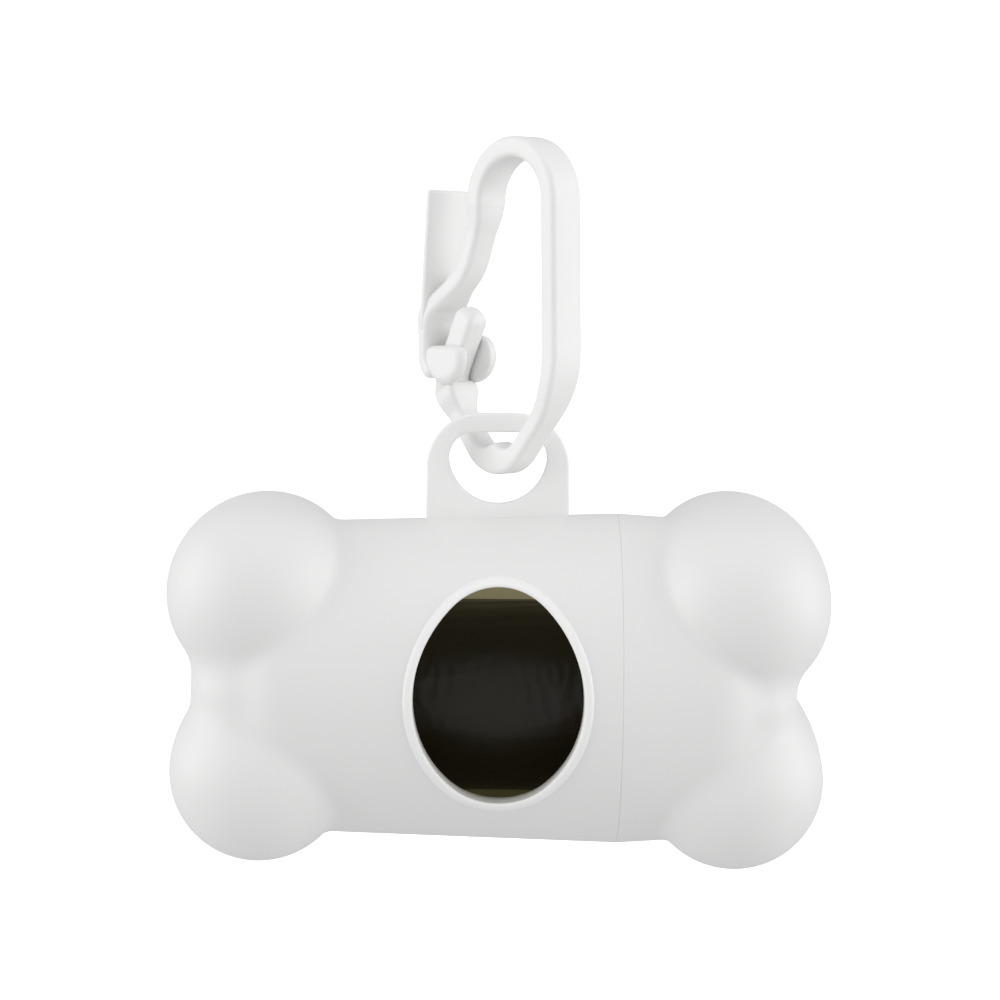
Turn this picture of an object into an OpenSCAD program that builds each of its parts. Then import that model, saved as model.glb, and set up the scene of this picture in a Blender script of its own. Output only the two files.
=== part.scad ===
// Bone-shaped waste bag dispenser with a snap clip, hanging as it is used.
// X runs along the barrel, -Y is the window side and +Z is up.
// The origin is the centre of the clip's top bend, where the leash sits.

/* [Barrel] */
// Outer radius where the barrel meets the left lobes
barrel_r_end = 19.7; // [18:0.1:21]
// Outer radius at the seam, where the mould's draft makes it widest
barrel_r_seam = 20.9; // [20:0.1:22]
// Distance of the seam from the middle of the barrel
seam_x = 14.9; // [13:0.1:18]
// Radius of the bore at the closed end
bore_r_end = 18.1; // [17:0.1:18.5]
// Radius of the bore at the neck
bore_r_mouth = 18.4; // [18:0.1:18.6]
// Wall of the lobes and of the end dome
shell_wall = 1.6; // [1.2:0.1:2.2]
// Corner radius of the dome that closes each end of the barrel
dome_r = 9.5; // [7:0.5:10]

/* [Lobes] */
// Radius of a lobe seen from the front
lobe_r = 12.6; // [11:0.1:14]
// Height of a lobe's centre above or below the barrel axis
lobe_z = 11.3; // [10:0.1:12.5]
// Half the depth of a lobe, front to back
lobe_depth = 17.6; // [15:0.1:19]
// Radius of the rounding at the front and back of a lobe
lobe_nose_r = 9; // [8:0.1:10]
// Distance of the left lobes' centres from the middle of the barrel
left_lobe_x = 29.8; // [28:0.1:33]
// Distance of the right lobes' centres from the middle of the barrel
right_lobe_x = 29.6; // [28:0.1:33]
// Radius of the web that fills the notch between the left lobes
left_web_r = 8.7; // [7:0.1:9.5]
// Radius of the web that fills the notch between the right lobes
right_web_r = 7.7; // [7:0.1:9.5]

/* [Window] */
// Width of the window
window_w = 20.5; // [16:0.1:22]
// Height of the window, measured straight across
window_h = 26.4; // [24:0.1:28]
// Width of the raised rim round the window
rim_w = 1.2; // [0.8:0.1:2]
// How far the rim stands out from the barrel
rim_rise = 0.45; // [0.2:0.05:0.8]

/* [Neck and cap] */
// Length of the neck that the cap pushes on to
neck_len = 7; // [5:0.1:9]
// Outer radius of the neck
neck_r = 19.6; // [19.4:0.05:19.7]
// Radial clearance between neck and cap
cap_fit = 0.06; // [0.04:0.01:0.1]
// Width of the fine seam left between barrel and cap
seam_gap = 0.25; // [0.15:0.05:0.4]
// Turn of the cap on the neck, top towards the front
cap_turn = 8; // [0:1:15]

/* [Lug] */
// Width of the lug
lug_w = 18.1; // [16:0.1:20]
// Thickness of the lug
lug_t = 2; // [1.8:0.1:2.4]
// Height of the lug's top above the barrel axis
lug_top = 33.6; // [32.5:0.1:35]
// Corner radius at the top of the lug
lug_corner_r = 6.8; // [5:0.1:8.5]
// Thickness of the bar over the lug's hole
lug_bar = 2.4; // [2:0.1:2.8]
// Width of the lug's hole
lug_hole_w = 12.3; // [11:0.1:13.5]
// Height of the lug's hole
lug_hole_h = 9; // [8.5:0.1:10]
// Radius of the hole's two upper corners
lug_hole_corner_r = 3.2; // [2.6:0.1:3.6]

/* [Bag roll] */
// Outer radius of the roll of bags
roll_r = 12.4; // [10:0.1:12.6]
// Length of the roll of bags
roll_len = 51; // [48:0.5:52]
// Outer radius of the cardboard core
core_r = 7.5; // [6:0.1:9]
// Wall of the cardboard core
core_wall = 1; // [0.6:0.1:1.5]
// Length of the cardboard core
core_len = 52; // [49:0.5:53]
// Gap between the roll and the bore it lies against
roll_gap = 0.4; // [0.3:0.05:0.8]
// Direction in which the roll lies in the bore, down from the back
roll_dir = 36; // [0:1:90]

/* [Clip] */
// Turn of the clip's loop about the vertical
clip_turn = 47.7; // [40:0.1:55]
// Thickness of the clip's strap
strap_t = 2.6; // [2.2:0.1:2.8]
// Width of the clip's strap
strap_w = 5; // [4.4:0.1:5.6]
// Width of the strap where it goes through the lug
eye_strap_w = 3.5; // [3.2:0.1:3.8]
// Thickness of the strap where it goes through the lug
eye_strap_t = 2.3; // [2:0.1:2.4]
// Rounding of the strap's edges
strap_edge = 0.7; // [0.4:0.1:0.9]
// Inner radius of the top bend, where the leash sits
top_bend_r = 5.5; // [5:0.1:6]
// Length of the straight back of the clip
back_len = 18.3; // [17:0.1:20]
// Thickness of the spring arm
arm_t = 2.3; // [1.8:0.1:2.5]
// Width of the spring arm
arm_w = 3.8; // [3.4:0.1:4.4]
// Thickness of the catch finger
finger_t = 2; // [1.6:0.1:2.1]
// Width of the catch finger
finger_w = 3.2; // [2.6:0.1:3.4]
// Thickness of the crook that holds the finger
crook_t = 1.8; // [1.6:0.1:2]
// Width of the crook
crook_w = 6.8; // [6.4:0.1:7.4]
// Clearance each side of the finger in the crook's slot
slot_gap = 0.25; // [0.2:0.05:0.4]
// Thickness of the thumb tab
tab_t = 0.9; // [0.8:0.1:1.2]
// Width of the thumb tab
tab_w = 7; // [6:0.1:8]
// Length of the thumb tab
tab_len = 18; // [15:0.1:19]

/* [Hidden] */
$fn = 96;
eps = 0.01;
shell_white = [0.93, 0.93, 0.93];

// where the clip's loop stands, in the barrel's own frame
clip_x = 0.2;
top_bend_u = 3.4;
top_bend_z = 60;
origin_x = clip_x + top_bend_u * cos(clip_turn);
origin_y = -top_bend_u * sin(clip_turn);
origin_z = top_bend_z;

// centre of the lug, and of its hole
lug_x = -0.3;
lug_hole_z = lug_top - lug_bar - lug_hole_h / 2;

// the roll lies against the back of the bore, where it would come to rest
roll_off = bore_r_end - roll_r - roll_gap;
roll_y = roll_off * cos(roll_dir);
roll_z = -roll_off * sin(roll_dir);

// stretches of the clip, in order from the top bend down its back
back_lean = 1.5;
lower_bend_r = 12.9;
lower_bend_angle = 41.7;
eye_run = 5.65;
eye_bend_r = 5.2;
eye_bend_angle = 99.6;
shoulder_angle = 16.9;
finger_angle = 50;
finger_len = 7.8;

// stretches of the spring arm and the gate
arm_bend_r = 8;
arm_bend_angle = 20;
arm_run = 4.2;
hinge_bend_r = 7;
hinge_bend_angle = 28;
gate_run = 4.95;
knuckle_angle = 48;
crook_drop = 4.05;
crook_r = 2.6;
crook_angle = 205;
joint_gap = 0.3;

// the slot in the crook, and where the thumb tab stands
slot_u = -11.15;
slot_z0 = 35;
slot_z1 = 44.9;
tab_u = -11.95;
tab_z = 43.8;
tab_lean = 4.4;

// how far a run sinks into its bends, and how shy of them its faces lie
sink = 0.3;
shy = 0.02;

module in_row() {
    translate([-origin_x, -origin_y, -origin_z]) children();
}

// turns a shape drawn round Z so that it runs along X
module along_x() {
    rotate([0, 90, 0]) children();
}

// half of an oval made of true arcs: half length a, half width b, end radius r
module half_oval(a, b, r) {
    side = (pow(a - r, 2) - pow(b - r, 2)) / (2 * (b - r));
    side_r = b + side;
    meet = side_r * (a - r) / (side_r - r);
    intersection() {
        translate([0, -a]) square([b, 2 * a]);
        union() {
            intersection() {
                translate([-side, 0]) circle(side_r);
                translate([0, -meet]) square([b, 2 * meet]);
            }
            for (s = [-1, 1]) translate([0, s * (a - r)]) circle(r);
        }
    }
}

// egg of revolution whose long axis lies front to back
module egg(r, half_depth, nose) {
    rotate([90, 0, 0]) rotate_extrude() half_oval(half_depth, r, nose);
}

// barrel end: straight wall from x0 out to x1, closed by a dome with a round corner
module domed_tube(x0, x1, r0, r1, corner) {
    along_x() rotate_extrude() union() {
        polygon([[0, x0], [r0, x0], [r1, x1], [0, x1]]);
        translate([0, x1 - eps]) square([r1 - corner, corner + eps]);
        intersection() {
            translate([r1 - corner, x1]) circle(corner);
            translate([r1 - corner - eps, x1 - eps]) square([corner + eps, corner + eps]);
        }
    }
}

// two lobes with the web between them, centred on the axis and inset by a wall
module lobes(web_r, inset) {
    for (s = [-1, 1]) translate([0, 0, s * lobe_z]) {
        egg(lobe_r - inset, lobe_depth - inset, lobe_nose_r - inset);
    }
    egg(web_r - inset, lobe_depth - 2 - inset, web_r - inset - 0.5);
}

module body_outer(inset) {
    rotate([0, 0, 180]) {
        domed_tube(-seam_x, left_lobe_x - 5, barrel_r_seam - inset, barrel_r_end - inset, dome_r - inset);
        translate([left_lobe_x, 0, 0]) lobes(left_web_r, inset);
    }
}

module oval_2d(w, h) {
    for (m = [0, 1]) mirror([m, 0]) half_oval(h / 2, w / 2, w / 2 - 2.2);
}

// prism with the window's outline, running out through the front
module window_prism(grow) {
    translate([0, 0, 0.2]) rotate([90, 0, 0]) linear_extrude(height = 40) {
        oval_2d(window_w + 2 * grow, window_h + 2 * grow);
    }
}

module rim() {
    intersection() {
        along_x() translate([0, 0, -16]) cylinder(h = 30, r = barrel_r_seam - 0.35 + rim_rise);
        difference() {
            window_prism(rim_w);
            window_prism(0);
            along_x() translate([0, 0, -20]) cylinder(h = 40, r = bore_r_mouth + 0.5);
        }
    }
}

module lug() {
    corner_x = lug_w / 2 - lug_corner_r;
    corner_z = lug_top - lug_corner_r;
    foot_z = bore_r_mouth + 0.7;
    // the hole's foot is one arc, which cuts the sides of an opening with rounded upper corners
    foot_r = lug_hole_w / 2 + 0.05;
    hole_top = lug_top - lug_bar;
    foot_c = hole_top - lug_hole_h + foot_r;
    low_z = foot_c - foot_r - 1;
    hole_x = lug_hole_w / 2 - lug_hole_corner_r;
    hole_z = hole_top - lug_hole_corner_r;
    translate([lug_x, lug_t / 2, 0]) rotate([90, 0, 0]) linear_extrude(height = lug_t) difference() {
        union() {
            translate([-lug_w / 2, foot_z]) square([lug_w, corner_z - foot_z]);
            translate([-corner_x, foot_z]) square([2 * corner_x, lug_top - foot_z]);
            for (s = [-1, 1]) translate([s * corner_x, corner_z]) circle(lug_corner_r);
        }
        intersection() {
            translate([0, foot_c]) circle(foot_r);
            union() {
                translate([-lug_hole_w / 2, low_z]) square([lug_hole_w, hole_z - low_z]);
                translate([-hole_x, low_z]) square([2 * hole_x, hole_top - low_z]);
                for (s = [-1, 1]) translate([s * hole_x, hole_z]) circle(lug_hole_corner_r);
            }
        }
    }
}

module body_shell() {
    color(shell_white) in_row() {
        difference() {
            union() {
                body_outer(0);
                along_x() translate([0, 0, seam_x - eps]) cylinder(h = neck_len + eps, r = neck_r);
            }
            body_inner();
            window_prism(0);
        }
        rim();
        lug();
    }
}

// the bore, with the hollow of the left lobes behind it
module body_inner() {
    along_x() translate([0, 0, -left_lobe_x + 5]) {
        cylinder(h = seam_x + neck_len + left_lobe_x - 5 + 1, r1 = bore_r_end, r2 = bore_r_mouth);
    }
    rotate([0, 0, 180]) {
        domed_tube(0, left_lobe_x - 5, bore_r_end, bore_r_end, dome_r - shell_wall);
        translate([left_lobe_x, 0, 0]) lobes(left_web_r, shell_wall);
    }
}

module end_cap() {
    start = seam_x + seam_gap;
    socket_r = neck_r + cap_fit;
    cap_end = right_lobe_x - 5;
    end_r = barrel_r_seam - 0.6;
    color(shell_white) in_row() rotate([cap_turn, 0, 0]) difference() {
        union() {
            domed_tube(start, cap_end, barrel_r_seam, end_r, dome_r);
            translate([right_lobe_x, 0, 0]) lobes(right_web_r, 0);
        }
        along_x() translate([0, 0, start - 1]) cylinder(h = neck_len + 1.2, r = socket_r);
        domed_tube(start, cap_end, bore_r_mouth, bore_r_mouth, dome_r - shell_wall);
        translate([right_lobe_x, 0, 0]) lobes(right_web_r, shell_wall);
    }
}

module bag_roll() {
    color([0.09, 0.08, 0.06]) in_row() translate([-roll_len / 2, roll_y, roll_z]) along_x() difference() {
        cylinder(h = roll_len, r = roll_r);
        translate([0, 0, -1]) cylinder(h = roll_len + 2, r = core_r);
    }
}

module roll_core() {
    color([0.66, 0.53, 0.38]) in_row() translate([-core_len / 2, roll_y, roll_z]) along_x() difference() {
        cylinder(h = core_len, r = core_r);
        translate([0, 0, -1]) cylinder(h = core_len + 2, r = core_r - core_wall);
    }
}

// the clip is drawn flat, u to the right and z up, and then stood at its turn
module in_loop() {
    in_row() translate([clip_x, 0, 0]) rotate([0, 0, -clip_turn]) rotate([90, 0, 0]) children();
}

// strap section: thickness across, width along the bend's axis, edges rounded
module section(t, w) {
    e = min(strap_edge, t / 2 - 0.2);
    square([t, w - 2 * e], center = true);
    square([t - 2 * e, w], center = true);
    for (a = [-1, 1]) for (b = [-1, 1]) translate([a * (t / 2 - e), b * (w / 2 - e)]) circle(e);
}

// a straight run of strap, its ends sunk a little into the bends it joins
module run(len, t, w) {
    translate([-sink, 0, 0]) rotate([90, 0, 90]) linear_extrude(height = len + 2 * sink) {
        section(t - 2 * shy, w - 2 * shy);
    }
    translate([len, 0, 0]) children();
}

// a bend of strap to the left, or to the right where the angle is negative
module bend(r, angle, t, w, lap = 0) {
    side = sign(angle);
    lap_angle = lap / r * 180 / PI;
    mirror([0, side < 0 ? 1 : 0, 0]) translate([0, r, 0]) rotate([0, 0, -90 - lap_angle]) {
        rotate_extrude(angle = abs(angle) + lap_angle) translate([r, 0]) section(t, w);
    }
    skip_bend(r, angle) children();
}

// moves on past a bend that belongs to another node
module skip_bend(r, angle) {
    side = sign(angle);
    translate([0, side * r, 0]) rotate([0, 0, angle]) translate([0, -side * r, 0]) children();
}

// a rounded end across the strap
module round_end(t, w) {
    e = min(strap_edge, t / 2 - 0.2);
    r = t / 2 - shy;
    rotate_extrude() {
        translate([0, -w / 2 + e]) square([r, w - 2 * e]);
        translate([0, -w / 2 + shy]) square([r - e, w - 2 * shy]);
        for (b = [-1, 1]) intersection() {
            translate([r - e, b * (w / 2 - shy - e)]) circle(e);
            translate([0, -w]) square([2 * r, 2 * w]);
        }
    }
}

// where the spring arm leaves the top bend, heading down
module at_arm_start() {
    translate([top_bend_u - top_bend_r - strap_t / 2, top_bend_z, 0]) rotate([0, 0, -90]) children();
}

module clip_frame() {
    r_top = top_bend_r + strap_t / 2;
    color(shell_white) in_loop() {
        // top bend, straight back, lower bend, eye and catch finger
        translate([top_bend_u, top_bend_z, 0]) rotate([0, 0, back_lean]) translate([-r_top, 0, 0]) {
            rotate([0, 0, 90])
            bend(r_top, -90, strap_t, strap_w)
            bend(r_top, -90, strap_t, strap_w)
            run(back_len, strap_t, strap_w)
            bend(lower_bend_r, -lower_bend_angle, strap_t, strap_w)
            run(eye_run, eye_strap_t, eye_strap_w)
            bend(eye_bend_r, -eye_bend_angle, eye_strap_t, eye_strap_w)
            run(eye_run, eye_strap_t, eye_strap_w)
            bend(lower_bend_r, -shoulder_angle, strap_t, strap_w)
            bend(2.5, -finger_angle, finger_t, finger_w, sink)
            run(finger_len, finger_t, finger_w)
            round_end(finger_t, finger_w);
        }
        // upper half of the spring arm
        at_arm_start()
        bend(arm_bend_r, -arm_bend_angle, arm_t, arm_w, 0.6)
        run(arm_run, arm_t, arm_w)
        bend(hinge_bend_r, -hinge_bend_angle, arm_t, arm_w)
        round_end(arm_t, arm_w);
    }
}

module clip_gate() {
    color(shell_white) in_loop() difference() {
        union() {
            at_arm_start()
            skip_bend(arm_bend_r, -arm_bend_angle)
            translate([arm_run, 0, 0])
            skip_bend(hinge_bend_r, -hinge_bend_angle)
            difference() {
                run(gate_run, arm_t, arm_w)
                bend(3.4, knuckle_angle, arm_t, crook_w)
                run(crook_drop, crook_t, crook_w)
                bend(crook_r, crook_angle, crook_t, crook_w)
                round_end(crook_t, crook_w);
                cylinder(h = crook_w, r = arm_t / 2 + joint_gap, center = true);
            }
            translate([tab_u, tab_z, 0]) rotate([0, 0, -tab_lean]) translate([-tab_t / 2, 0, -tab_w / 2]) {
                cube([tab_t, tab_len, tab_w]);
            }
        }
        // the slot that lets the finger stand between two prongs
        translate([slot_u, slot_z0, -finger_w / 2 - slot_gap]) {
            cube([12, slot_z1 - slot_z0, finger_w + 2 * slot_gap]);
        }
    }
}

body_shell();
end_cap();
bag_roll();
roll_core();
clip_frame();
clip_gate();
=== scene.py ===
"""Looks of the bone-shaped bag dispenser: blended hollow housings, film roll, one-piece snap clip and a white studio.

Lengths in the functions are millimetres in the barrel's own frame, as in the part's source: X along the barrel,
-Y to the window side, Z up. The `place` function turns them into metres in the shared frame.
"""

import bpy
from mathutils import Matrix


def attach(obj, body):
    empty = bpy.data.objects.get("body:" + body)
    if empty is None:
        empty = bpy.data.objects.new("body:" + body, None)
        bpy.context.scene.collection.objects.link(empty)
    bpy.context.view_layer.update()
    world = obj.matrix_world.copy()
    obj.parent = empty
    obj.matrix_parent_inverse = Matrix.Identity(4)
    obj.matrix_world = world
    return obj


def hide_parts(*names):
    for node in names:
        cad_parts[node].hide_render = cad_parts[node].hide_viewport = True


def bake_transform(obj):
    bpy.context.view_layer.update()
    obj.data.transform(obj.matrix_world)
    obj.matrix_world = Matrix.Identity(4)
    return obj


bl_info = {
    "name": "Bone Bag Dispenser",
    "version": (1, 0, 0),
    "blender": (4, 5, 0),
    "location": "View3D > Sidebar > Dispenser",
    "description": "Builds a bone-shaped waste bag dispenser with its roll and snap clip",
    "category": "Object",
}

import bpy
import numpy as np
from bpy.props import FloatProperty, FloatVectorProperty, PointerProperty
from mathutils import Matrix

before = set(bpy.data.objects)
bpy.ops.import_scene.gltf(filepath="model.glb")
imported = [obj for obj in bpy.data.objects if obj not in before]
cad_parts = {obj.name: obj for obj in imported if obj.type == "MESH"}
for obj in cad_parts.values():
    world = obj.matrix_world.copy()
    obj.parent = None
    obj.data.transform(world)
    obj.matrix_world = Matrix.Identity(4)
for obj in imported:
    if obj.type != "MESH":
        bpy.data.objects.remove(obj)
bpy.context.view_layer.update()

CLIP_TURN = np.radians(47.7)
CLIP_X = 0.2
TOP_BEND = (3.4, 60.0)
ORIGIN = np.array([CLIP_X + TOP_BEND[0] * np.cos(CLIP_TURN), -TOP_BEND[0] * np.sin(CLIP_TURN), TOP_BEND[1]])

SEAM_X = 14.9
SEAM_GAP = 0.25
NECK_END = SEAM_X + 7.0
NECK_R = 19.6
SOCKET_R = 19.66
SOCKET_END = SEAM_X + SEAM_GAP + 7.2
BARREL_R_SEAM = 20.9
BARREL_R_END = 19.7
BARREL_END = 24.8
MOUTH_R = 20.89

LOBE_UP = 11.3
LOBE_DOWN = 10.6
LOBE_NOSE_R = 11.2
LOWER_LOBE_SLIMMER = 0.35
LOWER_LOBE_INWARD = 0.993

WINDOW_HALF_W = 10.25
WINDOW_HALF_H = 13.2
WINDOW_Z = 0.2
WINDOW_END_TIGHTER = 2.2

LUG_X = -0.3
ROLL_REACH = 5.3
ROLL_DIRECTION = np.radians(36)
CORE_CLEAR_R = 7.55

# Strap lengths that the loop's path and its sections share: bend radius and degrees, run between bends.
LOOP_R = 6.8
BACK_RUN = 18.3
BELLY_R = 12.9
BELLY_TURN = 41.7
EYE_R = 5.2
EYE_TURN = 99.6
EYE_RUN = 5.65
SHOULDER_TURN = 16.9


# ---- sizes and colours that a user would change


class HousingSizes(bpy.types.PropertyGroup):
    """Sizes of the two moulded housings."""

    lobe_r: FloatProperty(
        name="Lobe radius", description="Radius of a lobe seen from the front, mm", default=12.0, min=11, max=14)
    lobe_depth: FloatProperty(
        name="Lobe half depth", description="Half a lobe's depth, front to back, mm", default=19.8, min=17, max=20.5)
    crease: FloatProperty(
        name="Crease softness", description="How far the lobes melt into the barrel, mm", default=0.9, min=0.4, max=4)
    wall: FloatProperty(name="Wall", description="Wall of the lobes, mm", default=1.6, min=1.2, max=2.2)


class ClipSizes(bpy.types.PropertyGroup):
    """Sizes of the snap clip."""

    strap_t: FloatProperty(
        name="Strap thickness", description="Thickness of the clip's strap, mm", default=2.6, min=2, max=3)
    strap_w: FloatProperty(
        name="Strap width", description="Width of the clip's strap, mm", default=5.0, min=4, max=5.6)
    tab_t: FloatProperty(
        name="Tab thickness", description="Thickness of the thumb tab, mm", default=0.9, min=0.8, max=1.2)


class RollSizes(bpy.types.PropertyGroup):
    """Sizes of the bag refill."""

    roll_r: FloatProperty(
        name="Roll radius", description="Outer radius of the roll, mm", default=12.4, min=10, max=12.6)
    wrinkle: FloatProperty(
        name="Wrinkle depth", description="Depth of the film's wrinkles, mm", default=0.16, min=0, max=0.4)


class FinishColours(bpy.types.PropertyGroup):
    """Colours of the finishes."""

    plastic: FloatVectorProperty(
        name="Plastic", description="White of the mouldings", subtype="COLOR", size=3,
        default=(0.83, 0.83, 0.825), min=0, max=1)
    film: FloatVectorProperty(
        name="Film", description="Black of the bags", subtype="COLOR", size=3,
        default=(0.015, 0.011, 0.0045), min=0, max=1)
    card: FloatVectorProperty(
        name="Card", description="Brown of the core", subtype="COLOR", size=3,
        default=(0.42, 0.31, 0.2), min=0, max=1)


# ---- surfaces


def place(points):
    """Row frame in metres: the barrel's frame less the clip's top bend, over a thousand."""
    return (np.asarray(points, float) - ORIGIN) / 1000.0


def loop_to_barrel(u, z, w):
    """A point of the clip's plane: u along the turned horizontal, z up, w towards the viewer."""
    c, s = np.cos(CLIP_TURN), np.sin(CLIP_TURN)
    return np.stack([CLIP_X + u * c - w * s, -u * s - w * c, z], -1)


def surface(name, grid, material, first_pole=None, last_pole=None, ring=False):
    """Quads over a grid of rows and closed columns. A pole closes the first or last row with triangles, and ring
    joins the last row to the first. All faces are turned over if the enclosed volume comes out negative."""
    rows, cols = grid.shape[:2]
    verts = grid.reshape(-1, 3)
    r = np.arange(rows if ring else rows - 1)[:, None] * cols
    r2 = (r + cols) % (rows * cols)
    c = np.arange(cols)[None, :]
    c2 = (c + 1) % cols
    quads = np.stack([r + c, r + c2, r2 + c2, r2 + c], -1).reshape(-1, 4)
    tris = []
    for pole, start, turn in ((first_pole, 0, 1), (last_pole, (rows - 1) * cols, 0)):
        if pole is None:
            continue
        index = len(verts)
        verts = np.vstack([verts, np.asarray(pole, float)[None]])
        a, b = start + c[0], start + c2[0]
        tris.append(np.stack([b, a, np.full(cols, index)] if turn else [a, b, np.full(cols, index)], -1))
    tris = np.vstack(tris) if tris else np.zeros((0, 3), int)
    fans = np.concatenate([quads[:, [0, 1, 2]], quads[:, [0, 2, 3]], tris])
    a, b, c = verts[fans[:, 0]], verts[fans[:, 1]], verts[fans[:, 2]]
    if np.einsum("ij,ij->", a, np.cross(b, c)) < 0:
        quads, tris = quads[:, ::-1], tris[:, ::-1]
    mesh = bpy.data.meshes.new(name)
    mesh.vertices.add(len(verts))
    mesh.vertices.foreach_set("co", place(verts).astype(np.float32).ravel())
    loops = np.concatenate([quads.ravel(), tris.ravel()]).astype(np.int32)
    mesh.loops.add(len(loops))
    mesh.loops.foreach_set("vertex_index", loops)
    sizes = np.concatenate([np.full(len(quads), 4), np.full(len(tris), 3)]).astype(np.int32)
    mesh.polygons.add(len(sizes))
    mesh.polygons.foreach_set("loop_start", np.concatenate([[0], np.cumsum(sizes)[:-1]]).astype(np.int32))
    mesh.polygons.foreach_set("use_smooth", np.ones(len(sizes), bool))
    mesh.update(calc_edges=True)
    mesh.validate()
    obj = bpy.data.objects.new(name, mesh)
    bpy.context.scene.collection.objects.link(obj)
    mesh.materials.append(material)
    return obj


def join(name, parts):
    """One piece made of several closed surfaces."""
    target = parts[0]
    with bpy.context.temp_override(
            active_object=target, object=target, selected_objects=parts, selected_editable_objects=parts):
        bpy.ops.object.join()
    target.name = name
    target.data.name = name
    return target


def smooth_min(a, b, k):
    """The lesser of two fields, rounded over a band k wide: a quarter of k is added where they are equal."""
    h = np.clip(0.5 + 0.5 * (b - a) / k, 0, 1)
    return b + (a - b) * h - k * h * (1 - h)


def egg_field(x, y, z, r, half_depth, nose):
    """Distance to an egg of revolution about Y: a flank arc and a nose arc that meet without a corner."""
    side = ((half_depth - nose) ** 2 - (r - nose) ** 2) / (2 * (r - nose))
    rho = np.hypot(x, z)
    ay = np.abs(y)
    flank = np.hypot(rho + side, ay) - (r + side)
    tip = np.hypot(rho, ay - (half_depth - nose)) - nose
    return np.where((rho + side) * (half_depth - nose) < ay * side, tip, flank)


def tube_field(x, rho, x0, x1, r0, r1, corner):
    """Distance to a drafted tube along X that a dome with a round corner closes past x1."""
    wall = r0 + (r1 - r0) * np.clip((x - x0) / (x1 - x0), 0, 1)
    side = rho - wall
    past = x - x1
    edge = rho - (r1 - corner)
    dome = np.where(edge > 0, np.hypot(past, np.maximum(edge, 0)) - corner, past - corner)
    return np.where(past > 0, dome, side)


class Housing:
    """One end of the bone: lobes, their web and the barrel, as a field that is negative inside."""

    def __init__(self, lobe_x, web_r, tube, turn, sizes):
        """Tube is what tube_field takes after rho. Turn is the lobes' angle about the barrel in degrees."""
        self.lobe_x, self.web_r, self.tube, self.turn = lobe_x, web_r, tube, np.radians(turn)
        self.r, self.depth, self.k, self.wall = sizes.lobe_r, sizes.lobe_depth, sizes.crease, sizes.wall

    def field(self, p, inset=0.0, bore=None, k=None):
        """Smooth union of the drafted tube, an egg LOBE_UP above and a slimmer one LOBE_DOWN below the axis, and the
        web between them. A positive inset gives the inner wall."""
        k = self.k if k is None else k
        c, s = np.cos(self.turn), np.sin(self.turn)
        x, y, z = p[..., 0], c * p[..., 1] + s * p[..., 2], -s * p[..., 1] + c * p[..., 2]
        dx = x - self.lobe_x
        depth, nose = self.depth - inset, LOBE_NOSE_R - inset
        upper = egg_field(dx, y, z - LOBE_UP, self.r - inset, depth, nose)
        lower_dx, lower_r = x - LOWER_LOBE_INWARD * self.lobe_x, self.r - LOWER_LOBE_SLIMMER - inset
        lower = egg_field(lower_dx, y, z + LOBE_DOWN, lower_r, depth, nose)
        web = egg_field(dx, y, z, self.web_r - inset, self.depth - 2 - inset, self.web_r - inset - 0.5)
        lobes = smooth_min(smooth_min(upper, lower, 1.2), web, 2.4)
        tube = tube_field(x, np.hypot(y, z), *(bore or self.tube))
        return smooth_min(tube, lobes, k)

    def skin(self, xs, fans, columns, centre, **how):
        """Points where rays first meet the field from outside. Rays stand square to the axis at each of xs, then fan
        out from the centre to the tip of the axis. Each ray is tried from 34 mm in to 5 mm in half-millimetre steps,
        and the crossing is then halved 14 times."""
        phi = np.linspace(0, 2 * np.pi, columns, endpoint=False)
        beta = np.concatenate([np.zeros(len(xs)), fans])
        start = np.concatenate([xs, np.full(len(fans), centre)])
        sin_b, cos_b = np.sin(beta)[:, None], np.cos(beta)[:, None]
        d = np.stack(np.broadcast_arrays(sin_b, cos_b * np.cos(phi), cos_b * np.sin(phi)), -1)
        o = np.zeros_like(d)
        o[..., 0] = start[:, None]
        steps = np.linspace(34, 5, 59)
        inside = np.stack([self.field(o + d * t, **how) < 0 for t in steps])
        first = np.argmax(inside, 0)
        lo = steps[first]
        hi = steps[np.maximum(first - 1, 0)]
        for _ in range(14):
            mid = (lo + hi) / 2
            into = self.field(o + d * mid[..., None], **how) < 0
            lo, hi = np.where(into, mid, lo), np.where(into, hi, mid)
        return o + d * ((lo + hi) / 2)[..., None]


def rings(stations, columns):
    """Circles round the axis at each (x, radius)."""
    phi = np.linspace(0, 2 * np.pi, columns, endpoint=False)
    st = np.array(stations, float)
    return np.stack(np.broadcast_arrays(st[:, :1], st[:, 1:] * np.cos(phi), st[:, 1:] * np.sin(phi)), -1)


def closed_housing(name, half, flip_x, mouth, xs_in, xs_out, bore, centre, finish):
    """A housing as one closed surface: inner tip, bore, mouth, outer wall, outer tip. The inside has its own material,
    a painted glow that is brighter towards the top.
    """
    columns = 288
    fans_in = np.radians(np.linspace(2, 88.5, 46))
    fans_out = np.radians(np.linspace(1.2, 89, 92))
    inner = half.skin(xs_in, fans_in, columns, centre, inset=half.wall, bore=bore, k=0.8)
    outer = half.skin(xs_out, fans_out, columns, centre)
    body = np.concatenate([inner[::-1], rings(mouth, columns), outer])
    tip_in, tip_out = inner[-1].mean(0), outer[-1].mean(0)
    if flip_x:
        sign = np.array([-1.0, -1.0, 1.0])
        body, tip_in, tip_out = body * sign, tip_in * sign, tip_out * sign
    obj = surface(name, body, finish, tip_in, tip_out)
    # The inner faces take the painted-glow material: painted light inside the bore.
    obj.data.materials.append(material("inner_wall_painted_glow"))
    index = np.zeros(len(obj.data.polygons), np.int32)
    index[: len(inner) * columns] = 1
    obj.data.polygons.foreach_set("material_index", index)
    return obj


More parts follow.
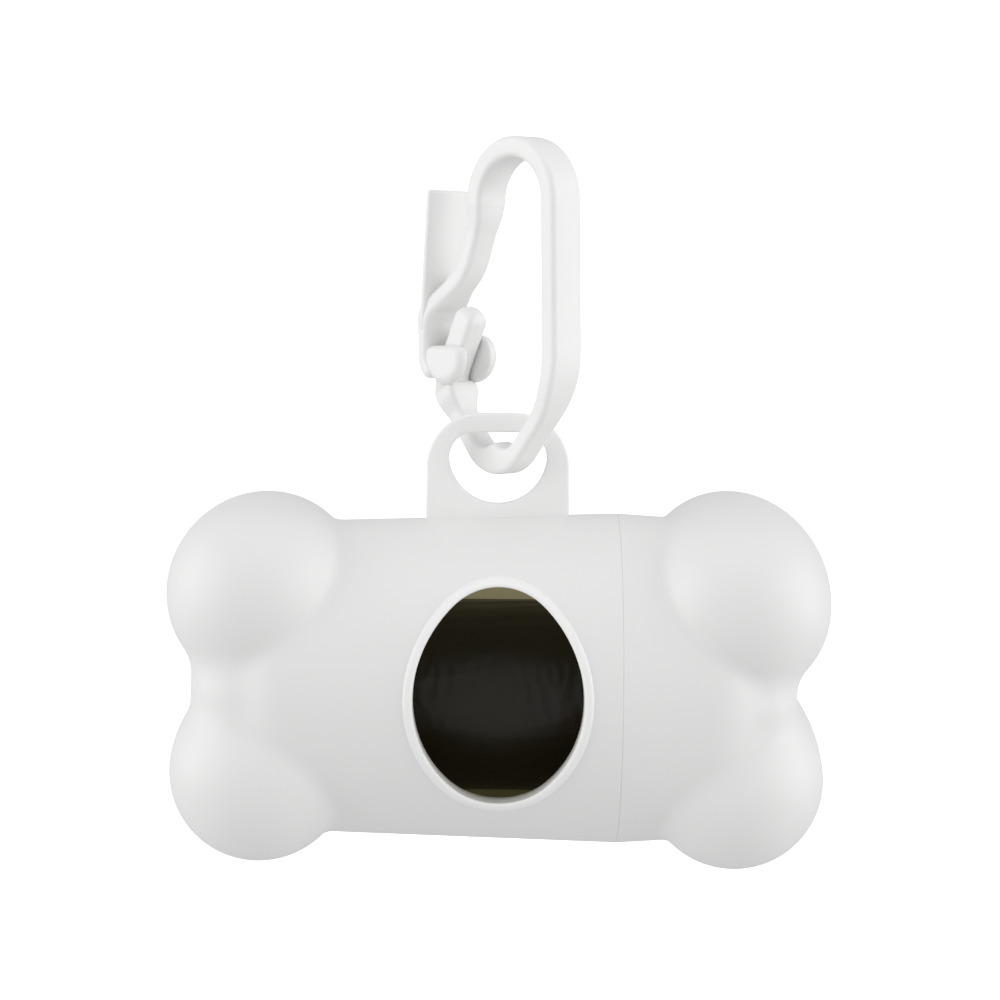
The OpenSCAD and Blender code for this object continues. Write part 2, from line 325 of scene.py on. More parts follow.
def oval(half_w, half_h, count):
    """Window outline, counter-clockwise: flat side arcs meet end arcs that are tighter than the half width. Each
    point is found by halving along its ray."""
    end = half_w - WINDOW_END_TIGHTER
    side = ((half_h - end) ** 2 - (half_w - end) ** 2) / (2 * (half_w - end))
    t = np.linspace(0, 2 * np.pi, count, endpoint=False)
    dx, dz = np.cos(t), np.sin(t)
    lo, hi = np.zeros(count), np.full(count, 40.0)
    for _ in range(40):
        mid = (lo + hi) / 2
        x, z = np.abs(dx * mid), np.abs(dz * mid)
        flank = np.hypot(x + side, z) - (half_w + side)
        tip = np.hypot(x, z - (half_h - end)) - end
        f = np.where((x + side) * (half_h - end) < z * side, tip, flank)
        lo, hi = np.where(f < 0, mid, lo), np.where(f < 0, hi, mid)
    return dx * lo, dz * lo


def barrel_r(x):
    """Outer radius of the barrel: the seam's radius plus the draft's change times the share of the way to its end."""
    return BARREL_R_SEAM + (BARREL_R_END - BARREL_R_SEAM) * np.clip((SEAM_X - x) / (SEAM_X + BARREL_END), 0, 1)


def rounded_section(t, w, e, corner=6):
    """Rounded rectangle for each row: half thickness and half width less the edge radius, plus an arc in each
    corner."""
    a = np.linspace(0, np.pi / 2, corner)
    turns = np.concatenate([a, a + np.pi / 2, a + np.pi, a + 1.5 * np.pi])
    sx = np.repeat([1, -1, -1, 1], corner)
    sy = np.repeat([1, 1, -1, -1], corner)
    n = sx[None] * (t / 2 - e)[:, None] + e[:, None] * np.cos(turns)
    w_ = sy[None] * (w / 2 - e)[:, None] + e[:, None] * np.sin(turns)
    return n, w_


def walk(start, heading, steps, pitch=0.22):
    """Path of runs ("r", length) and bends ("b", radius, degrees): points and headings at an even pitch."""
    x, y, h = start[0], start[1], np.radians(heading)
    pts, heads = [np.array([[x, y]])], [np.array([h])]
    for kind, *size in steps:
        if kind == "r":
            n = max(2, int(size[0] / pitch))
            d = np.linspace(0, size[0], n + 1)[1:]
            pts.append(np.stack([x + d * np.cos(h), y + d * np.sin(h)], 1))
            heads.append(np.full(n, h))
        else:
            r, turn = size[0], np.radians(size[1])
            n = max(4, int(abs(turn) * r / pitch), int(abs(size[1]) / 4))
            side = np.sign(turn)
            a = np.linspace(0, turn, n + 1)[1:]
            cx, cy = x - side * r * np.sin(h), y + side * r * np.cos(h)
            pts.append(np.stack([cx + side * r * np.sin(h + a), cy - side * r * np.cos(h + a)], 1))
            heads.append(h + a)
        x, y = pts[-1][-1]
        h = heads[-1][-1]
    return np.concatenate(pts), np.concatenate(heads)


def strap(name, points, heads, t, w, finish, e=0.7):
    """Strap t thick and w wide carried along a path in the clip's plane, closed at each end by a half round. The
    edge radius e shrinks to 0.86 of half the thickness where the strap is thin."""
    n = len(points)
    t, w = np.broadcast_to(np.asarray(t, float), n), np.broadcast_to(np.asarray(w, float), n)
    a = np.linspace(0, np.pi / 2, 7)[1:-1]

    def end(i, sign):
        """Rows of the half round past the strap's end: points, headings, thicknesses and widths."""
        r = t[i] / 2
        out = points[i] + sign * r * np.sin(a)[:, None] * np.array([np.cos(heads[i]), np.sin(heads[i])])
        return out, np.full(len(a), heads[i]), t[i] * np.cos(a), w[i] - 2 * r * (1 - np.cos(a))

    p0, h0, t0, w0 = end(0, -1)
    p1, h1, t1, w1 = end(-1, 1)
    P = np.concatenate([p0[::-1], points, p1])
    H = np.concatenate([h0[::-1], heads, h1])
    T = np.concatenate([t0[::-1], t, t1])
    W = np.concatenate([w0[::-1], w, w1])
    E = np.minimum(e, T / 2 * 0.86)
    sn, sw = rounded_section(T, W, E)
    u = P[:, :1] + np.sin(H)[:, None] * sn
    z = P[:, 1:] - np.cos(H)[:, None] * sn
    grid = loop_to_barrel(u, z, sw)
    tips = []
    for i, sign in ((0, -1), (-1, 1)):
        r = t[i] / 2
        q = points[i] + sign * r * np.array([np.cos(heads[i]), np.sin(heads[i])])
        tips.append(loop_to_barrel(q[0], q[1], np.array(0.0)))
    return surface(name, grid, finish, tips[0], tips[1])


def cheek(name, centre, radii, top, w_in, w_out, e, finish):
    """Flat disc in the clip's plane. Its outline is an oval, R = 1 / ((1 / oval)^5 + (sin(angle) / top)^5)^0.2, so that
    it flattens at `top` above the centre. Quarter rounds join the faces to the edge."""
    cols, e_in = 120, 0.25
    a = np.linspace(0, 2 * np.pi, cols, endpoint=False)
    side = 1 / np.hypot(np.cos(a) / radii[0], np.sin(a) / radii[1])
    reach = ((1 / side) ** 5 + (np.maximum(np.sin(a), 0) / top) ** 5) ** -0.2
    out = np.sign(w_out)
    k = np.linspace(0, np.pi / 2, 7)
    share = np.linspace(0.12, 1, 9)[:, None]
    face = (reach - e) * share
    outer = [(row, w_out) for row in face]
    outer += [(reach - e + e * np.sin(b), w_out - out * e * (1 - np.cos(b))) for b in k[1:]]
    inner = [(reach - e_in + e_in * np.cos(b), w_in + out * e_in * (1 - np.sin(b))) for b in k]
    inner += [((reach - e_in) * v, w_in) for v in share[::-1][1:]]
    rows = []
    for r, w in outer + inner:
        rows.append(loop_to_barrel(centre[0] + r * np.cos(a), centre[1] + r * np.sin(a), np.full(cols, w)))
    tips = [loop_to_barrel(np.array(centre[0]), np.array(centre[1]), np.array(w)) for w in (w_out, w_in)]
    return surface(name, np.stack(rows), finish, tips[0], tips[1])


def ease(s, s0, s1, a, b):
    """Smooth step from a to b between s0 and s1."""
    x = np.clip((s - s0) / (s1 - s0), 0, 1)
    return a + (b - a) * x * x * (3 - 2 * x)


def arc_length(points):
    """Length along a path at each of its points."""
    return np.concatenate([[0], np.cumsum(np.linalg.norm(np.diff(points, axis=0), axis=1))])


# ---- materials


def nodes_of(name):
    """A new node material and its shader."""
    mat = bpy.data.materials.new(name)
    mat.use_nodes = True
    return mat, mat.node_tree, mat.node_tree.nodes["Principled BSDF"]


def grain_group():
    """Shared group: two sizes of noise on Object coordinates make a height, a roughness and a tint."""
    old = bpy.data.node_groups.get("moulded_grain")
    if old:
        return old
    g = bpy.data.node_groups.new("moulded_grain", "ShaderNodeTree")
    face = g.interface
    for label, value in (("Fine Scale", 4000.0), ("Cloud Scale", 60.0), ("Rough Low", 0.28), ("Rough High", 0.4)):
        socket = face.new_socket(name=label, in_out="INPUT", socket_type="NodeSocketFloat")
        socket.default_value = value
    for label in ("Colour A", "Colour B"):
        face.new_socket(name=label, in_out="INPUT", socket_type="NodeSocketColor")
    face.new_socket(name="Colour", in_out="OUTPUT", socket_type="NodeSocketColor")
    face.new_socket(name="Roughness", in_out="OUTPUT", socket_type="NodeSocketFloat")
    face.new_socket(name="Height", in_out="OUTPUT", socket_type="NodeSocketFloat")
    n, k = g.nodes, g.links
    inp, out = n.new("NodeGroupInput"), n.new("NodeGroupOutput")
    co = n.new("ShaderNodeTexCoord")
    fine, cloud = n.new("ShaderNodeTexNoise"), n.new("ShaderNodeTexNoise")
    fine.inputs["Detail"].default_value = 3
    cloud.inputs["Detail"].default_value = 2
    k.new(co.outputs["Object"], fine.inputs["Vector"])
    k.new(co.outputs["Object"], cloud.inputs["Vector"])
    k.new(inp.outputs["Fine Scale"], fine.inputs["Scale"])
    k.new(inp.outputs["Cloud Scale"], cloud.inputs["Scale"])
    rough = n.new("ShaderNodeMapRange")
    k.new(cloud.outputs["Fac"], rough.inputs["Value"])
    rough.inputs["From Min"].default_value = 0.1
    rough.inputs["From Max"].default_value = 0.9
    k.new(inp.outputs["Rough Low"], rough.inputs["To Min"])
    k.new(inp.outputs["Rough High"], rough.inputs["To Max"])
    mix = n.new("ShaderNodeMix")
    mix.data_type = "RGBA"
    k.new(cloud.outputs["Fac"], mix.inputs["Factor"])
    k.new(inp.outputs["Colour A"], mix.inputs["A"])
    k.new(inp.outputs["Colour B"], mix.inputs["B"])
    k.new(mix.outputs["Result"], out.inputs["Colour"])
    k.new(rough.outputs["Result"], out.inputs["Roughness"])
    k.new(fine.outputs["Fac"], out.inputs["Height"])
    return g


def grained(name, colour, fine, cloud, rough, bump, distance, shade=0.97):
    """A finish that takes tint, roughness and bump from the shared grain. Shade is the darker tint's share."""
    mat, tree, shader = nodes_of(name)
    group = tree.nodes.new("ShaderNodeGroup")
    group.node_tree = grain_group()
    group.inputs["Fine Scale"].default_value = fine
    group.inputs["Cloud Scale"].default_value = cloud
    group.inputs["Rough Low"].default_value, group.inputs["Rough High"].default_value = rough
    group.inputs["Colour A"].default_value = (*[c * shade for c in colour], 1)
    group.inputs["Colour B"].default_value = (*colour, 1)
    height = tree.nodes.new("ShaderNodeBump")
    height.inputs["Strength"].default_value = bump
    height.inputs["Distance"].default_value = distance
    tree.links.new(group.outputs["Colour"], shader.inputs["Base Color"])
    tree.links.new(group.outputs["Roughness"], shader.inputs["Roughness"])
    tree.links.new(group.outputs["Height"], height.inputs["Height"])
    tree.links.new(height.outputs["Normal"], shader.inputs["Normal"])
    return mat, tree, shader


def ramp_on_object(tree, axis, low, high):
    """A ramp from 0 to 1 over an object coordinate between low and high."""
    co, split, ramp = (tree.nodes.new(n) for n in ("ShaderNodeTexCoord", "ShaderNodeSeparateXYZ", "ShaderNodeMapRange"))
    ramp.inputs["From Min"].default_value, ramp.inputs["From Max"].default_value = low, high
    tree.links.new(co.outputs["Object"], split.inputs["Vector"])
    tree.links.new(split.outputs[axis], ramp.inputs["Value"])
    return ramp


def material(name):
    """The named finish, made the first time that it is asked for."""
    found = bpy.data.materials.get(name)
    if found:
        return found
    colours = bpy.context.scene.dispenser_colours
    if name == "soft_gloss_plastic":
        mat, _, shader = grained(name, colours.plastic, 5200, 70, (0.38, 0.46), 0.05, 0.00002)
        shader.inputs["IOR"].default_value = 1.49
    elif name == "inner_wall_painted_glow":
        # Inside of the housings: painted light. The olive colour and a glow that is no lamp stand in for light coming
        # through the thin white wall. A ramp on object Z paints the glow brighter towards the top.
        mat, tree, shader = grained(name, (0.6, 0.58, 0.45), 5200, 70, (0.35, 0.45), 0.05, 0.00002)
        shader.inputs["Emission Strength"].default_value = 0.2
        ramp, mix = ramp_on_object(tree, "Z", -0.075, -0.045), tree.nodes.new("ShaderNodeMix")
        mix.data_type = "RGBA"
        mix.inputs["A"].default_value, mix.inputs["B"].default_value = (0.12, 0.11, 0.04, 1), (0.8, 0.74, 0.44, 1)
        tree.links.new(ramp.outputs["Result"], mix.inputs["Factor"])
        tree.links.new(mix.outputs["Result"], shader.inputs["Emission Color"])
    # A copy of the moulding's white made 1.1 times brighter, for the window rim and the lug: painted light on parts of
    # the same plastic as the body.
    elif name == "painted_bright_plastic":
        bright = [min(1, c * 1.1) for c in colours.plastic]
        mat, _, _ = grained(name, bright, 5200, 70, (0.27, 0.34), 0.05, 0.00002)
    elif name == "satin_clip_plastic":
        satin = [min(1, c * 1.04) for c in colours.plastic]
        mat, _, shader = grained(name, satin, 3600, 90, (0.33, 0.42), 0.08, 0.00003)
        shader.inputs["IOR"].default_value = 1.49
    elif name == "black_film":
        mat, _, shader = grained(name, colours.film, 900, 120, (0.3, 0.5), 0.2, 0.0001, 0.6)
        shader.inputs["IOR"].default_value = 1.4
    elif name == "core_card":
        mat, _, _ = grained(name, colours.card, 2200, 300, (0.8, 0.95), 0.4, 0.0001, 0.8)
    else:
        mat, tree, shader = grained(name, (0.9, 0.9, 0.9), 300, 3, (0.85, 0.95), 0.02, 0.0001, 0.995)
        shader.inputs["Emission Strength"].default_value = 0.75
        ramp = ramp_on_object(tree, "Y", -0.02, 0.12)
        tree.links.new(ramp.outputs["Result"], shader.inputs["Emission Color"])
    return mat


# ---- pieces


class DISPENSER_OT_body(bpy.types.Operator):
    """Barrel, left lobes and neck as one hollow surface, with the window cut through the front"""

    bl_idname = "dispenser.body"
    bl_label = "Build body"

    def execute(self, context):
        finish = material("soft_gloss_plastic")
        tube = (-SEAM_X, BARREL_END, BARREL_R_SEAM, BARREL_R_END, 9.5)
        bore = (-NECK_END, BARREL_END, 18.4, 18.1, 7.9)
        half = Housing(29.8, 8.7, tube, 0, context.scene.dispenser_housing)
        centre = 26.5
        xs_in = np.linspace(-NECK_END + 0.25, centre, 30)
        chamfer = -SEAM_X + np.array([0.16, 0.5, 1.2])
        xs_out = np.concatenate([chamfer, np.linspace(-12, 14, 30), np.linspace(14.6, centre, 30)])
        mouth = [(-NECK_END + 0.05, 18.45), (-NECK_END, 18.7), (-NECK_END, 19.3), (-NECK_END + 0.08, 19.5),
                 (-NECK_END + 0.3, NECK_R), (-SEAM_X - 0.05, NECK_R), (-SEAM_X, NECK_R + 0.06),
                 (-SEAM_X, MOUTH_R - 0.06), (-SEAM_X + 0.06, MOUTH_R)]
        obj = closed_housing("housing_body", half, True, mouth, xs_in, xs_out, bore, centre, finish)
        overlap, y_front, y_back = 0.35, -40.0, -6.0
        x, z = oval(WINDOW_HALF_W + overlap, WINDOW_HALF_H + overlap, 160)
        cut = np.stack([np.stack([x, np.full_like(x, y), z + WINDOW_Z], -1) for y in (y_front, y_back)])
        knife = surface("window_knife", cut, finish, (0, y_front, WINDOW_Z), (0, y_back, WINDOW_Z))
        mod = obj.modifiers.new("window", "BOOLEAN")
        mod.object, mod.solver, mod.operation = knife, "EXACT", "DIFFERENCE"
        mesh = bpy.data.meshes.new_from_object(obj.evaluated_get(context.evaluated_depsgraph_get()))
        obj.modifiers.clear()
        obj.data = mesh
        bpy.data.objects.remove(knife)
        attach(obj, "dispenser")
        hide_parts("body_shell")
        return {"FINISHED"}


class DISPENSER_OT_rim(bpy.types.Operator):
    """Raised bead round the window: straight inner wall down to the bore, then a rounded crown"""

    bl_idname = "dispenser.rim"
    bl_label = "Build window rim"

    def execute(self, context):
        width, crown, count = 1.2, 0.42, 320
        a = np.linspace(0, np.pi, 13)
        offs = np.concatenate([[0, 0, 0], width / 2 - width / 2 * np.cos(a), [width, 0.6]])
        over = np.concatenate([[-2.4, -1.2, -0.3], -0.05 + crown * np.sin(a), [-0.8, -2.4]])
        rows = []
        for o, h in zip(offs, over):
            x, z = oval(WINDOW_HALF_W + o, WINDOW_HALF_H + o, count)
            z = z + WINDOW_Z
            r = barrel_r(x) + h
            rows.append(np.stack([x, -np.sqrt(np.maximum(r * r - z * z, 1)), z], -1))
        # The rim takes the brightened copy of the body's plastic: painted light.
        obj = surface("window_rim", np.stack(rows), material("painted_bright_plastic"), ring=True)
        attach(obj, "dispenser")
        return {"FINISHED"}


class DISPENSER_OT_lug(bpy.types.Operator):
    """Flat lug on top of the barrel: outline and hole joined ring to ring, with small rounded edges"""

    bl_idname = "dispenser.lug"
    bl_label = "Build lug"

    def execute(self, context):
        count, e, half_t = 256, 0.35, 1.0
        t = np.linspace(0, 2 * np.pi, count, endpoint=False) + np.pi / 4
        dx, dz = np.cos(t), np.sin(t)
        mid_z = 26.7

        def reach(inside):
            """How far each ray from the lug's middle stays inside, found by halving."""
            lo, hi = np.zeros(count), np.full(count, 30.0)
            for _ in range(40):
                m = (lo + hi) / 2
                ok = inside(dx * m, dz * m + mid_z)
                lo, hi = np.where(ok, m, lo), np.where(ok, hi, m)
            return lo

        def under_arch(x, z, half_w, top, corner):
            """Inside a doorway of this half width and top, with rounded upper corners."""
            q = np.maximum(np.stack([np.abs(x) - (half_w - corner), z - (top - corner)]), 0)
            return (np.abs(x) <= half_w) & (z <= top) & (np.hypot(q[0], q[1]) <= corner)

        def plate(x, z):
            """The lug's outline, down into the barrel."""
            return under_arch(x, z, 9.05, 33.6, 6.8) & (z >= 18.6)

        def hole(x, z):
            """The hole: a doorway cut off below by an arc of radius 6.2."""
            return under_arch(x, z, 6.15, 31.2, 3.2) & (np.hypot(x, z - 28.4) <= 6.2)

        outer, inner = reach(plate), reach(hole)
        a = np.linspace(0, np.pi / 2, 5)
        loops = [(outer - e + e * np.sin(k), -half_t + e - e * np.cos(k)) for k in a]
        loops += [(outer - e + e * np.cos(k), half_t - e + e * np.sin(k)) for k in a]
        loops += [(inner + e - e * np.sin(k), half_t - e + e * np.cos(k)) for k in a]
        loops += [(inner + e - e * np.cos(k), -half_t + e - e * np.sin(k)) for k in a]
        rows = [np.stack([dx * r + LUG_X, np.full(count, y), dz * r + mid_z], -1) for r, y in loops]
        # The lug takes the brightened copy of the body's plastic: painted light, since it faces the same way as the
        # barrel's front.
        obj = surface("lug_plate", np.stack(rows), material("painted_bright_plastic"), ring=True)
        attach(obj, "dispenser")
        return {"FINISHED"}


class DISPENSER_OT_cap(bpy.types.Operator):
    """End cap with the right lobes, hollow, with a socket for the neck"""

    bl_idname = "dispenser.cap"
    bl_label = "Build end cap"

    def execute(self, context):
        start = SEAM_X + SEAM_GAP
        end = 24.6
        tube, bore = (start, end, BARREL_R_SEAM, 20.3, 9.5), (start, end, 18.4, 18.4, 7.9)
        half = Housing(29.6, 7.7, tube, 6, context.scene.dispenser_housing)
        centre = 26.4
        xs_in = np.linspace(SOCKET_END + 0.05, centre, 8)
        lip = SEAM_X + 0.002
        xs_out = np.concatenate([lip + np.array([0.2, 0.5, 1.0]), np.linspace(start + 1.5, centre, 34)])
        mouth = [(SOCKET_END, 18.5), (SOCKET_END, SOCKET_R - 0.1), (SOCKET_END - 0.1, SOCKET_R),
                 (start + 0.3, SOCKET_R), (lip + 0.05, SOCKET_R + 0.08), (lip, SOCKET_R + 0.2),
                 (lip, MOUTH_R - 0.06), (lip + 0.06, MOUTH_R)]
        finish = material("soft_gloss_plastic")
        obj = closed_housing("housing_cap", half, False, mouth, xs_in, xs_out, bore, centre, finish)
        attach(obj, "cap")
        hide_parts("end_cap")
        return {"FINISHED"}


class DISPENSER_OT_roll(bpy.types.Operator):
    """Film roll: a tube whose outer layer creases and steps down at the free edge, with wound ends"""

    bl_idname = "dispenser.roll"
    bl_label = "Build bag roll"

    def execute(self, context):
        sizes = context.scene.dispenser_roll
        cy, cz = ROLL_REACH * np.cos(ROLL_DIRECTION), -ROLL_REACH * np.sin(ROLL_DIRECTION)
        cols = 360
        phi = np.linspace(0, 2 * np.pi, cols, endpoint=False)
        rng = np.random.default_rng(7)
        half = 25.5
        xs = np.linspace(-half, half, 170)
        X, A = np.meshgrid(xs, phi, indexing="ij")
        dent = np.zeros_like(X)
        for _ in range(26):
            fx, fa, ph, amp = rng.uniform(0.02, 0.22), rng.integers(2, 26), rng.uniform(0, 6.28), rng.uniform(0.3, 1)
            dent += amp * np.sin(fx * X + fa * A + ph + 0.8 * np.sin(0.11 * X + ph))
        dent = np.abs(dent) / np.abs(dent).max()
        bands = 0.35 * (0.5 + 0.5 * np.sin(3 * A + 0.04 * X)) * (0.5 + 0.5 * np.sin(0.3 * X + 2))
        front = (np.pi - A + np.pi) % (2 * np.pi) - np.pi
        crumple = np.zeros_like(X)
        for _ in range(22):
            fx, fa, ph = rng.uniform(0.9, 2.4) * rng.choice([-1, 1]), rng.uniform(0.1, 0.8), rng.uniform(0, 6.28)
            crumple += np.sin(fx * X + 12.4 * fa * front + ph)
        seen = np.exp(-(((front - 0.22) / 0.36) ** 6)) * np.exp(-((X / 14) ** 6))
        crumple = 0.25 * np.abs(crumple) / np.abs(crumple).max() * seen
        step = 0.14 * ((A + 0.02 * np.sin(0.4 * X)) % (2 * np.pi)) / (2 * np.pi)
        r = sizes.roll_r - sizes.wrinkle * (0.6 * dent + bands) - crumple - step
        edge = np.minimum(1, (half - np.abs(X)) / 0.5)
        r = r - 0.35 * (1 - np.sqrt(np.clip(1 - (1 - edge) ** 2, 0, 1)))
        wall = np.stack([X, cy + r * np.cos(A), cz + r * np.sin(A)], -1)
        rr = np.linspace(0.97, 0, 40)
        ends = []
        for side in (-1, 1):
            radius = CORE_CLEAR_R + (r[0 if side < 0 else -1] - CORE_CLEAR_R) * rr[:, None]
            wob = 0.12 * np.sin(radius * 14 + phi) + 0.1 * np.sin(3 * phi + radius)
            x = side * (half - 0.1) - side * np.abs(wob)
            ends.append(np.stack([x, cy + radius * np.cos(phi), cz + radius * np.sin(phi)], -1))
        grid = np.concatenate([ends[0][::-1], wall, ends[1]])
        obj = surface("film_roll", grid, material("black_film"), ring=True)
        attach(obj, "roll")
        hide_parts("bag_roll")
        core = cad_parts["roll_core"]
        core.data.materials.clear()
        core.data.materials.append(material("core_card"))
        return {"FINISHED"}


ARM = [("b", 8, -20), ("r", 4.2), ("b", 7, -28), ("r", 4.95)]
CROOK = [("b", 3.4, 48), ("r", 4.05)]
ARM_START = (-3.4, 60.0)


class DISPENSER_OT_clip_loop(bpy.types.Operator):
    """Fixed strap of the clip: top bend, back, lower bends, eye and catch finger in one sweep"""

    bl_idname = "dispenser.clip_loop"
    bl_label = "Build clip loop"

    def execute(self, context):
        s_ = context.scene.dispenser_clip
        full_t, full_w, eye_t, eye_w = s_.strap_t, s_.strap_w, 2.35, 3.55
        lean = np.radians(1.5)
        start = (TOP_BEND[0] - LOOP_R * np.cos(lean), TOP_BEND[1] - LOOP_R * np.sin(lean))
        steps = [("b", LOOP_R, -180), ("r", BACK_RUN), ("b", BELLY_R, -BELLY_TURN), ("r", EYE_RUN),
                 ("b", EYE_R, -EYE_TURN), ("r", EYE_RUN), ("b", BELLY_R, -SHOULDER_TURN), ("b", 2.5, -50), ("r", 7.5)]
        p, h = walk(start, 91.5, steps)
        s = arc_length(p)
        s1 = LOOP_R * np.pi + BACK_RUN
        s2 = s1 + BELLY_R * np.radians(BELLY_TURN)
        s3 = s2 + EYE_RUN * 2 + EYE_R * np.radians(EYE_TURN)
        s4 = s3 + BELLY_R * np.radians(SHOULDER_TURN)
        t = np.interp(s, [0, s1, s2 + 0.5, s3 - 0.5, s4 - 1.2, s4 + 0.3, s[-1]],
                      [full_t, full_t, eye_t, eye_t, full_t, 3.3, 3.4])
        w = np.where(s < s3 - 0.5, ease(s, s1 + 3, s2 + 1.5, full_w, eye_w), ease(s, s3 - 0.5, s3 + 2.5, eye_w, full_w))
        w = np.where(s > s4 - 0.5, ease(s, s4 - 0.6, s4 + 0.9, full_w - 0.3, 3.3), w)
        for middle, reach, more in ((s2 + EYE_RUN + EYE_R * np.radians(EYE_TURN / 2), 2.8, 1.7), (s4 - 1.2, 2.4, 1.0)):
            bell = more * np.exp(-(((s - middle) / reach) ** 2))
            t = t + bell
            p = p + (bell / 2)[:, None] * np.stack([np.sin(h), -np.cos(h)], 1)
        obj = strap("clip_loop", p, h, t, w, material("satin_clip_plastic"))
        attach(obj, "clip")
        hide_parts("clip_frame")
        return {"FINISHED"}


class DISPENSER_OT_clip_spring(bpy.types.Operator):
    """Spring arm, knuckle and crook: an S-shaped strap that widens into a wall that
    curls under the catch finger, with a cheek on each side of it"""

    bl_idname = "dispenser.clip_spring"
    bl_label = "Build spring arm and crook"

    def execute(self, context):
        finish = material("satin_clip_plastic")
        q, k = walk(ARM_START, -90, ARM[:3])
        p, h = walk((ARM_START[0], ARM_START[1] + 0.6), -90, [("r", 0.6)] + ARM + CROOK + [("b", 2.6, 52)])
        s = arc_length(p)
        knuckle = 0.6 + sum(size[0] if kind == "r" else size[0] * np.radians(abs(size[1])) for kind, *size in ARM)
        t = np.interp(s, [0, 0.4, 4, knuckle - 1.5, knuckle + 1.5, knuckle + 4.5, s[-1]],
                      [2.57, 2.57, 2.3, 2.3, 2.4, 1.85, 1.8])
        w = np.where(s < 8, ease(s, 0.4, 5, 4.96, 3.8), ease(s, knuckle - 4.6, knuckle + 2.4, 3.8, 6.8))
        parts = [strap("clip_spring", p, h, t, w, finish, e=0.7)]
        parts += [cheek("near_cheek", (-8.2, 40.45), (3.65, 3.45), 1.5, 1.85, 3.25, 1.1, finish),
                  cheek("far_cheek", (-8.4, 40.6), (4.0, 3.55), 3.1, -1.8, -3.4, 0.9, finish)]
        obj = join("clip_spring", parts)
        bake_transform(obj)
        return {"FINISHED"}


class DISPENSER_OT_clip_tab(bpy.types.Operator):
    """Thumb tab: a thin plate with rounded edges that rises from the knuckle and is free at the top"""

    bl_idname = "dispenser.clip_tab"
    bl_label = "Build thumb tab"

    def execute(self, context):
        p, h = walk((-11.95, 44.3), 90 - 4.4, [("r", 17.1)])
        obj = strap("clip_tab", p, h, context.scene.dispenser_clip.tab_t, 7.0, material("satin_clip_plastic"), e=0.38)
        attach(obj, "gate")
        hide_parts("clip_gate")
        return {"FINISHED"}


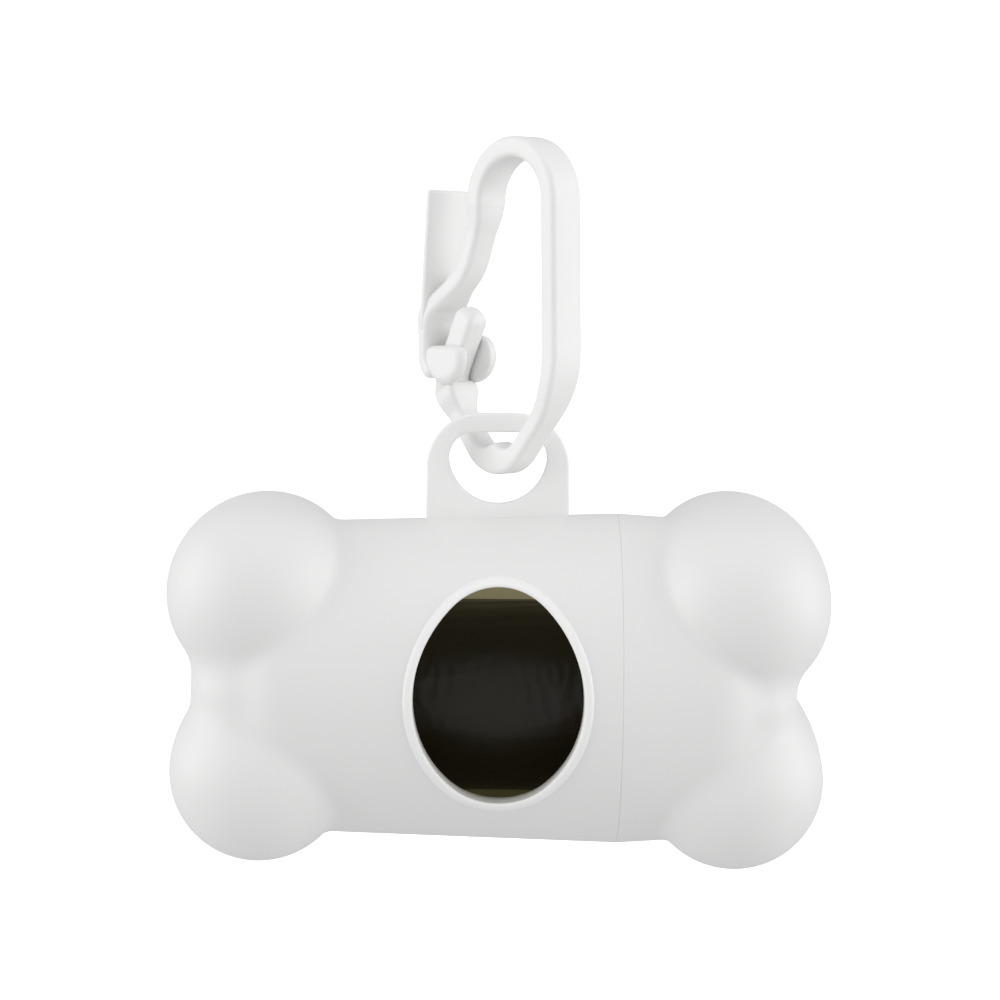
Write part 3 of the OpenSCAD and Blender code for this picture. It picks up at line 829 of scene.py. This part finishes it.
class DISPENSER_OT_stage(bpy.types.Operator):
    """White floor and backdrop in one curved sheet, soft boxes, and the photograph's camera"""

    bl_idname = "dispenser.stage"
    bl_label = "Build stage"

    def execute(self, context):
        scene = context.scene
        data = bpy.data.cameras.new("camera")
        data.lens, data.sensor_width, data.clip_start = 84.35, 36, 0.01
        cam = bpy.data.objects.new("camera", data)
        scene.collection.objects.link(cam)
        tilt, roll = Matrix.Rotation(np.radians(90 - 5.2), 4, "X"), Matrix.Rotation(np.radians(0.5), 4, "Z")
        cam.matrix_world = Matrix.Translation(place([0.0, -295.9, 49.5])) @ tilt @ roll
        scene.camera = cam
        floor_z, curve_y, curve_r = -0.14, 0.3, 0.6
        a = np.linspace(0, np.pi / 2, 14)[1:]
        prof = [(v, floor_z) for v in (-3.0, -1.5, -0.5, curve_y)]
        prof += [(curve_y + curve_r * np.sin(v), floor_z + curve_r - curve_r * np.cos(v)) for v in a]
        prof += [(curve_y + curve_r, 2.5)]
        pts = np.array([[(x, v, w) for x in np.linspace(-3, 3, 9)] for v, w in prof])
        rows, cols = pts.shape[:2]
        i = np.arange(rows - 1)[:, None] * cols + np.arange(cols - 1)[None]
        quads = np.stack([i, i + 1, i + cols + 1, i + cols], -1).reshape(-1, 4)
        mesh = bpy.data.meshes.new("studio_sweep")
        mesh.from_pydata(pts.reshape(-1, 3).tolist(), [], quads.tolist())
        mesh.polygons.foreach_set("use_smooth", np.ones(len(mesh.polygons), bool))
        mesh.materials.append(material("studio_white"))
        sweep = bpy.data.objects.new("studio_sweep", mesh)
        scene.collection.objects.link(sweep)
        sweep.visible_diffuse = sweep.visible_glossy = False
        boxes = (("left_box", (-0.8, -0.15, 0.12), 3.2), ("right_box", (0.8, -0.15, 0.12), 3.2),
                 ("top_box", (0.0, -0.25, 0.8), 1.1))
        for name, at, power in boxes:
            light = bpy.data.lights.new(name, "AREA")
            light.shape, light.size, light.energy = "SQUARE", 0.8, power
            lamp = bpy.data.objects.new(name, light)
            scene.collection.objects.link(lamp)
            aim = np.array([0, 0, -0.05]) - np.array(at)
            z = -aim / np.linalg.norm(aim)
            x = np.cross([0, 0, 1.0] if abs(z[2]) < 0.9 else [0, 1.0, 0], z)
            x = x / np.linalg.norm(x)
            m = np.eye(4)
            m[:3, 0], m[:3, 1], m[:3, 2], m[:3, 3] = x, np.cross(z, x), z, at
            lamp.matrix_world = Matrix(m.tolist())
        world = bpy.data.worlds.new("studio")
        world.use_nodes = True
        tree = world.node_tree
        tree.nodes["Background"].inputs["Color"].default_value = (1, 1, 1, 1)
        co, split = tree.nodes.new("ShaderNodeTexCoord"), tree.nodes.new("ShaderNodeSeparateXYZ")
        tree.links.new(co.outputs["Generated"], split.inputs["Vector"])
        glow = tree.nodes.new("ShaderNodeMath")
        glow.operation = "MULTIPLY"
        for axis, low, high, socket in (("Y", 0.63, 0.52, 0), ("Z", 1.25, 1.08, 1)):
            ramp = tree.nodes.new("ShaderNodeMapRange")
            ramp.inputs["From Min"].default_value, ramp.inputs["From Max"].default_value = -1, 1
            ramp.inputs["To Min"].default_value, ramp.inputs["To Max"].default_value = low, high
            tree.links.new(split.outputs[axis], ramp.inputs["Value"])
            tree.links.new(ramp.outputs["Result"], glow.inputs[socket])
        tree.links.new(glow.outputs["Value"], tree.nodes["Background"].inputs["Strength"])
        scene.world = world
        scene.view_settings.view_transform = "Standard"
        return {"FINISHED"}


class DISPENSER_PT_panel(bpy.types.Panel):
    """Sizes and build buttons of the dispenser"""

    bl_idname = "DISPENSER_PT_panel"
    bl_label = "Bag dispenser"
    bl_space_type = "VIEW_3D"
    bl_region_type = "UI"
    bl_category = "Dispenser"

    def draw(self, context):
        """Every size and colour, then a button for each piece."""
        for name in GROUPS:
            group = getattr(context.scene, name)
            for key in group.__annotations__:
                self.layout.prop(group, key)
        for cls in PIECES:
            self.layout.operator(cls.bl_idname)


PIECES = (DISPENSER_OT_body, DISPENSER_OT_rim, DISPENSER_OT_lug, DISPENSER_OT_cap, DISPENSER_OT_roll,
          DISPENSER_OT_clip_loop, DISPENSER_OT_clip_spring, DISPENSER_OT_clip_tab, DISPENSER_OT_stage)
CLASSES = (HousingSizes, ClipSizes, RollSizes, FinishColours) + PIECES + (DISPENSER_PT_panel,)
GROUPS = {"dispenser_housing": HousingSizes, "dispenser_clip": ClipSizes, "dispenser_roll": RollSizes,
          "dispenser_colours": FinishColours}


def register():
    """Adds the classes, and a group of sizes or colours for each name to the scene."""
    for cls in CLASSES:
        bpy.utils.register_class(cls)
    for key, cls in GROUPS.items():
        setattr(bpy.types.Scene, key, PointerProperty(type=cls))


def unregister():
    """Takes away what register adds, in reverse."""
    for key in GROUPS:
        delattr(bpy.types.Scene, key)
    for cls in reversed(CLASSES):
        bpy.utils.unregister_class(cls)


def main():
    """Builds every piece in order."""
    register()
    for cls in PIECES:
        group, call = cls.bl_idname.split(".")
        getattr(getattr(bpy.ops, group), call)()


if __name__ == "__main__":
    main()
